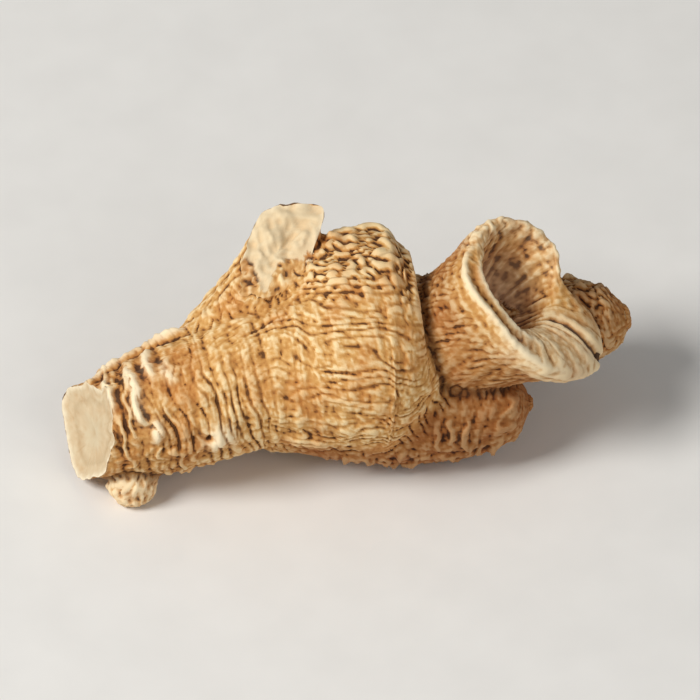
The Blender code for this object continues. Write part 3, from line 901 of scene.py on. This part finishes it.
class Web:
    """A mesh's points and the edges between them, for smoothing over and for spreading along."""

    def __init__(self, mesh):
        self.points = np.empty(len(mesh.vertices) * 3)
        mesh.vertices.foreach_get("co", self.points)
        self.points = self.points.reshape(-1, 3)
        edges = np.empty(len(mesh.edges) * 2, dtype=np.int64)
        mesh.edges.foreach_get("vertices", edges)
        self.ends = edges.reshape(-1, 2)
        self.count = np.bincount(edges, minlength=len(self.points))[:, None]

    def averaged(self, values):
        """Each point's value as the mean of its neighbours' values."""
        a, b = self.ends.T
        sums = [
            np.bincount(a, values[b, i], len(values)) + np.bincount(b, values[a, i], len(values))
            for i in range(values.shape[1])
        ]
        return np.stack(sums, axis=-1) / self.count

    def smoothed(self, values, rounds, weight=1.0):
        for _ in range(rounds):
            values = values + 0.6 * weight * (self.averaged(values) - values)
        return values

    def spread_from(self, starts, reach):
        """How far each point is from the nearest start along the edges, up to a reach."""
        a, b = self.ends.T
        lengths = np.linalg.norm(self.points[a] - self.points[b], axis=1)
        distance = np.where(starts, 0.0, 10 * reach)
        for _ in range(int(reach / 0.08)):
            np.minimum.at(distance, a, distance[b] + lengths)
            np.minimum.at(distance, b, distance[a] + lengths)
        return distance


def normals_of(mesh):
    normals = np.empty(len(mesh.vertices) * 3)
    mesh.vertex_normals.foreach_get("vector", normals)
    return normals.reshape(-1, 3)


def put_points(mesh, points):
    mesh.vertices.foreach_set("co", points.reshape(-1))
    mesh.update()


def softened(web, owner):
    """The points with the folds between the pieces softened, each by its own reach, and the painted shade laid in some
    folds.
    """
    names = [p["piece_name"] for p in pieces]
    a, b = web.ends.T
    meets = owner[a] != owner[b]
    weight = np.zeros(len(web.points))
    dark = np.zeros(len(web.points))
    for name, reach in SOFT_FOLDS.items():
        number = names.index(name)
        touched = meets & ((owner[a] == number) | (owner[b] == number))
        starts = np.zeros(len(web.points), bool)
        starts[web.ends[touched].reshape(-1)] = True
        weight = np.maximum(weight, 1 - between(0.2 * reach, reach, web.spread_from(starts, reach)))
        # Painted shade along this fold, fading out over about a millimetre.
        if name in FOLDS_WITH_PAINTED_SHADE:
            dark = np.maximum(dark, 1 - between(0.1, 0.9, web.spread_from(starts, 1.0)))
    return web.smoothed(web.points, 40, weight[:, None]), weight, dark


def fine_grain(points, near_fold):
    """The last small wrinkles over everything, which also cross the soft folds."""
    grits = [Grit(SEED * 101 + i) for i in range(3)]
    return (
        -0.04 * creases(grits[0].at(points / (0.55, 1.1, 1.1)), 0.30)
        + 0.04 * grits[1].at(points / 0.42)
        - 0.18 * near_fold * creases(grits[2].at(points / (0.8, 1.9, 1.2)), 0.32)
    )


root = grown_together([p["piece"] for p in pieces])
root.name = "whole_root"
web = Web(root.data)
owner, place_in_piece = nearest_in_pieces(web.points)
marks = np.array([pieces[o]["marks"][i] for o, i in zip(owner, place_in_piece)]).T
cut_share, hollow, ring_count, ring_depth, line_count, line_depth, pale_and_highlight, browner = marks
web.points, near_fold, painted_fold_shade = softened(web, owner)
put_points(root.data, web.points)
on_skin = np.where(cut_share < 0, 1.0, 0.3)
web.points += (on_skin * fine_grain(web.points, near_fold))[:, None] * normals_of(root.data)
put_points(root.data, web.points)
normals = normals_of(root.data)
for attribute, rounds in (("fine_ridge", 6), ("broad_ridge", 60)):
    height = np.sum((web.points - web.smoothed(web.points, rounds)) * normals, axis=1)
    root.data.attributes.new(attribute, "FLOAT", "POINT").data.foreach_set("value", height)
kinds = {
    "ring_count": ring_count,
    "ring_depth": ring_depth * (1 - near_fold),
    "line_count": line_count,
    "line_depth": line_depth * (1 - near_fold),
    "cut": (cut_share >= 0) * 1.0,
    "cut_share": np.maximum(cut_share, 0.0),
    "hollow": hollow,
    "pale_and_highlight": pale_and_highlight,
    "painted_fold_shade": painted_fold_shade,
    "browner": browner,
}
kinds["browner"] = web.smoothed(kinds["browner"][:, None], 60)[:, 0]
kinds["cut"] = web.smoothed(kinds["cut"][:, None], 2)[:, 0]
for attribute, values in kinds.items():
    root.data.attributes.new(attribute, "FLOAT", "POINT").data.foreach_set("value", values)
root.data.transform(Matrix.Rotation(-PITCH, 4, "Y"))
root.data.transform(Matrix.Translation(-Vector(LAID_MIDDLE)))
laid = Web(root.data).points
laid[:, 2] = np.maximum(laid[:, 2], 0.0)
put_points(root.data, laid * MM)
root.data.shade_smooth()
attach(root, "root")
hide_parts("ginseng_root")

# The skin's finish.
# It is dry and matt: cream on the worn ridges, tan to golden ochre between them and dark brown in the furrows,
# partly the skin's own dust and wear, partly a painted highlight on the ridges and painted shade in the furrows.
# Cut faces are pale wood-like flesh, and the hollow scar is grey-brown.

PIT = (84, 52, 26)
FURROW = (134, 88, 45)
OCHRE = (190, 134, 70)
TAN = (212, 161, 93)
CREAM = (240, 210, 158)
PALEST = (250, 232, 196)
GOLDEN = (222, 168, 98)
FLESH = (211, 191, 156)
FLESH_MIDDLE = (204, 187, 154)
FLESH_RING = (198, 176, 140)
PALE_FLESH = (240, 214, 170)
FLESH_RIM = (236, 222, 192)
SCAR = (236, 194, 152)
SCAR_DEEP = (164, 124, 92)


def colour(rgb):
    """A colour in the shader's own linear light from one as seen on a screen."""
    shares = (c / 255 for c in rgb)
    return (*(c / 12.92 if c <= 0.04045 else ((c + 0.055) / 1.055) ** 2.4 for c in shares), 1.0)


class Finish:
    """A node material, with short calls that add a node and give its result."""

    def __init__(self, name):
        self.material = bpy.data.materials.new(name)
        self.material.use_nodes = True
        self.nodes = self.material.node_tree.nodes
        self.shader = self.nodes["Principled BSDF"]

    def join(self, result, socket):
        self.material.node_tree.links.new(result, socket)

    def give(self, socket, value):
        if isinstance(value, bpy.types.NodeSocket):
            self.join(value, socket)
        else:
            socket.default_value = value

    def of(self, attribute):
        node = self.nodes.new("ShaderNodeAttribute")
        node.attribute_name = attribute
        return node.outputs["Fac"]

    def math(self, operation, *values):
        node = self.nodes.new("ShaderNodeMath")
        node.operation = operation
        for socket, value in zip(node.inputs, values):
            self.give(socket, value)
        return node.outputs[0]

    def ranged(self, value, low, high, to_low=0.0, to_high=1.0):
        node = self.nodes.new("ShaderNodeMapRange")
        for socket, given in zip(node.inputs, (value, low, high, to_low, to_high)):
            self.give(socket, given)
        return node.outputs[0]

    def thin_lines(self, count, depth, width):
        """Thin lines wherever a count passes a whole number, as deep as their depth there."""
        off = self.math("ABSOLUTE", self.math("SUBTRACT", self.math("FRACT", self.of(count)), 0.5))
        return self.math("MULTIPLY", self.ranged(off, 0.5 - width, 0.5), self.of(depth))

    def noise(self, size_mm, detail=3.0, roughness=0.55, stretch=(1, 1, 1)):
        """Noise with patches of about this size, in millimetres."""
        place = self.nodes.new("ShaderNodeTexCoord")
        scale = self.nodes.new("ShaderNodeMapping")
        scale.inputs["Scale"].default_value = tuple(1 / (size_mm * MM * s) for s in stretch)
        self.join(place.outputs["Object"], scale.inputs["Vector"])
        node = self.nodes.new("ShaderNodeTexNoise")
        node.inputs["Scale"].default_value = 1.0
        node.inputs["Detail"].default_value = detail
        node.inputs["Roughness"].default_value = roughness
        self.join(scale.outputs["Vector"], node.inputs["Vector"])
        return node.outputs["Fac"]

    def ramp(self, value, stops):
        node = self.nodes.new("ShaderNodeValToRGB")
        while len(node.color_ramp.elements) < len(stops):
            node.color_ramp.elements.new(1.0)
        for element, (place, rgb) in zip(node.color_ramp.elements, stops):
            element.position = place
            element.color = colour(rgb)
        self.give(node.inputs[0], value)
        return node.outputs["Color"]

    def mixed(self, share, first, second, blend="MIX"):
        node = self.nodes.new("ShaderNodeMix")
        node.data_type = "RGBA"
        node.blend_type = blend
        self.give(node.inputs["Factor"], share)
        self.give(node.inputs["A"] if blend == "FLOAT" else node.inputs[6], first)
        self.give(node.inputs[7], second)
        return node.outputs[2]

    def bumped(self, height, depth_mm, strength=1.0):
        node = self.nodes.new("ShaderNodeBump")
        node.inputs["Strength"].default_value = strength
        node.inputs["Distance"].default_value = depth_mm * MM
        self.join(height, node.inputs["Height"])
        self.join(node.outputs["Normal"], self.shader.inputs["Normal"])


skin = Finish("dried_root_skin")
fine = skin.math("MULTIPLY", skin.of("fine_ridge"), 1 / 0.16)
broad = skin.math("MULTIPLY", skin.of("broad_ridge"), 1 / 0.9)
speckle = skin.math("SUBTRACT", skin.noise(0.28, 4.0, 0.6), 0.5)
height = skin.math("ADD", skin.math("ADD", fine, broad), skin.math("MULTIPLY", speckle, 0.40))
height = skin.math("ADD", height, 0.55)
# Darker in furrows and hollows, paler on ridges and swells: partly dust and wear, partly painted shade and painted
# highlight.
dust_and_painted_light = skin.ramp(height, ((0.0, PIT), (0.12, FURROW), (0.32, OCHRE), (0.60, TAN), (1.0, CREAM)))
golden = skin.ranged(skin.noise(3.4, 3.0), 0.44, 0.66)
warm = skin.mixed(skin.math("MULTIPLY", golden, 0.45), dust_and_painted_light, colour(GOLDEN), "MULTIPLY")
# Browner where marked: the bud's and the tail's own colour, painted shade on the shoulder, and on the crown's wall
# partly both.
brown = skin.mixed(skin.math("MULTIPLY", skin.of("browner"), 0.75), warm, colour((176, 134, 98)), "MULTIPLY")
lined = skin.math(
    "MAXIMUM",
    skin.thin_lines("ring_count", "ring_depth", 0.20),
    skin.thin_lines("line_count", "line_depth", 0.18),
)
brown = skin.mixed(skin.math("MULTIPLY", lined, 0.48), brown, colour(FURROW))
# Paler where marked: the stubs' and cut faces' own pale colour, and on ribs and the crown's lip partly a painted
# highlight.
brown = skin.mixed(skin.math("MULTIPLY", skin.of("pale_and_highlight"), skin.ranged(height, 0.3, 0.9, 0.15, 0.8)), brown, colour(PALEST))
# Painted shade: the folds by the crown, bud and front stub are darkened towards the pit brown.
brown = skin.mixed(skin.math("MULTIPLY", skin.of("painted_fold_shade"), 0.5), brown, colour(PIT))
flesh_share = skin.math("ADD", skin.of("cut_share"), skin.math("MULTIPLY", skin.math(
    "SUBTRACT", skin.noise(0.7, 3.0), 0.5), 0.16))
flesh = skin.ramp(flesh_share, (
    (0.0, FLESH_MIDDLE), (0.5, FLESH), (0.68, FLESH_RING), (0.76, FLESH), (0.88, FLESH), (1.0, FLESH_RIM)))
flesh = skin.mixed(skin.ranged(skin.math("ADD", fine, broad), -0.7, 0.15, 0.45, 0.0), flesh, colour(TAN), "MULTIPLY")
flesh = skin.mixed(skin.math("MULTIPLY", skin.of("pale_and_highlight"), 0.8), flesh, colour(PALE_FLESH))
scar = skin.mixed(skin.ranged(skin.math("ADD", fine, broad), -0.5, 0.6), colour(SCAR_DEEP), colour(SCAR))
with_scar = skin.mixed(skin.math("MULTIPLY", skin.of("hollow"), 0.92), brown, scar)
finished = skin.mixed(skin.of("cut"), with_scar, flesh)
skin.join(finished, skin.shader.inputs["Base Color"])
skin.join(skin.ranged(height, 0.2, 0.9, 0.92, 0.72), skin.shader.inputs["Roughness"])
skin.shader.inputs["Specular IOR Level"].default_value = 0.3
skin.bumped(skin.noise(0.16, 3.0, 0.6), 0.035, 0.8)
root.data.materials.clear()
root.data.materials.append(skin.material)

# The floor.
# A plain pale sheet, large enough that its edge is never seen from above.

FLOOR_SIDE = 1.6
floor_mesh = bpy.data.meshes.new("floor")
half = FLOOR_SIDE / 2
floor_mesh.from_pydata([(-half, -half, 0), (half, -half, 0), (half, half, 0), (-half, half, 0)], [], [(0, 1, 2, 3)])
floor = bpy.data.objects.new("floor", floor_mesh)
bpy.context.scene.collection.objects.link(floor)
paper = Finish("pale_paper")
paper.join(paper.ramp(paper.noise(6.0, 2.0), ((0.3, (226, 223, 217)), (0.7, (230, 227, 221)))),
           paper.shader.inputs["Base Color"])
paper.shader.inputs["Roughness"].default_value = 0.9
floor_mesh.materials.append(paper.material)

# The light and the camera.
# A soft window-like light from the upper left, a weak one from the front right, and a long
# lens that looks down on the root from its front.

LIGHTS = (
    ("window", (-0.46, -0.10, 0.48), 0.26, 4.2),
    ("front", (0.30, -0.60, 0.45), 0.50, 1.3),
)
SKY = 0.22
CAMERA_AZIMUTH = math.radians(-13.0)
CAMERA_ELEVATION = math.radians(43.4)
CAMERA_DISTANCE = 0.913
CAMERA_LENS = 563.4
AIM = Vector((-0.00015, 0.00058, 0.00948))

for light_name, light_place, light_side, light_power in LIGHTS:
    lamp = bpy.data.lights.new(light_name, "AREA")
    lamp.size = light_side
    lamp.energy = light_power
    light = bpy.data.objects.new(light_name, lamp)
    light.location = light_place
    light.rotation_euler = (Vector(light_place) - AIM).to_track_quat("Z", "Y").to_euler()
    bpy.context.scene.collection.objects.link(light)
world = bpy.data.worlds.new("room")
world.use_nodes = True
world.node_tree.nodes["Background"].inputs["Color"].default_value = (0.95, 0.97, 1.0, 1.0)
world.node_tree.nodes["Background"].inputs["Strength"].default_value = SKY
bpy.context.scene.world = world
bpy.context.scene.view_settings.view_transform = "Standard"

towards_camera = Vector((
    math.sin(CAMERA_AZIMUTH) * math.cos(CAMERA_ELEVATION),
    -math.cos(CAMERA_AZIMUTH) * math.cos(CAMERA_ELEVATION),
    math.sin(CAMERA_ELEVATION),
))
camera = bpy.data.objects.new("camera", bpy.data.cameras.new("camera"))
camera.data.lens = CAMERA_LENS
camera.location = AIM + CAMERA_DISTANCE * towards_camera
camera.rotation_euler = towards_camera.to_track_quat("Z", "Y").to_euler()
bpy.context.scene.collection.objects.link(camera)
bpy.context.scene.camera = camera
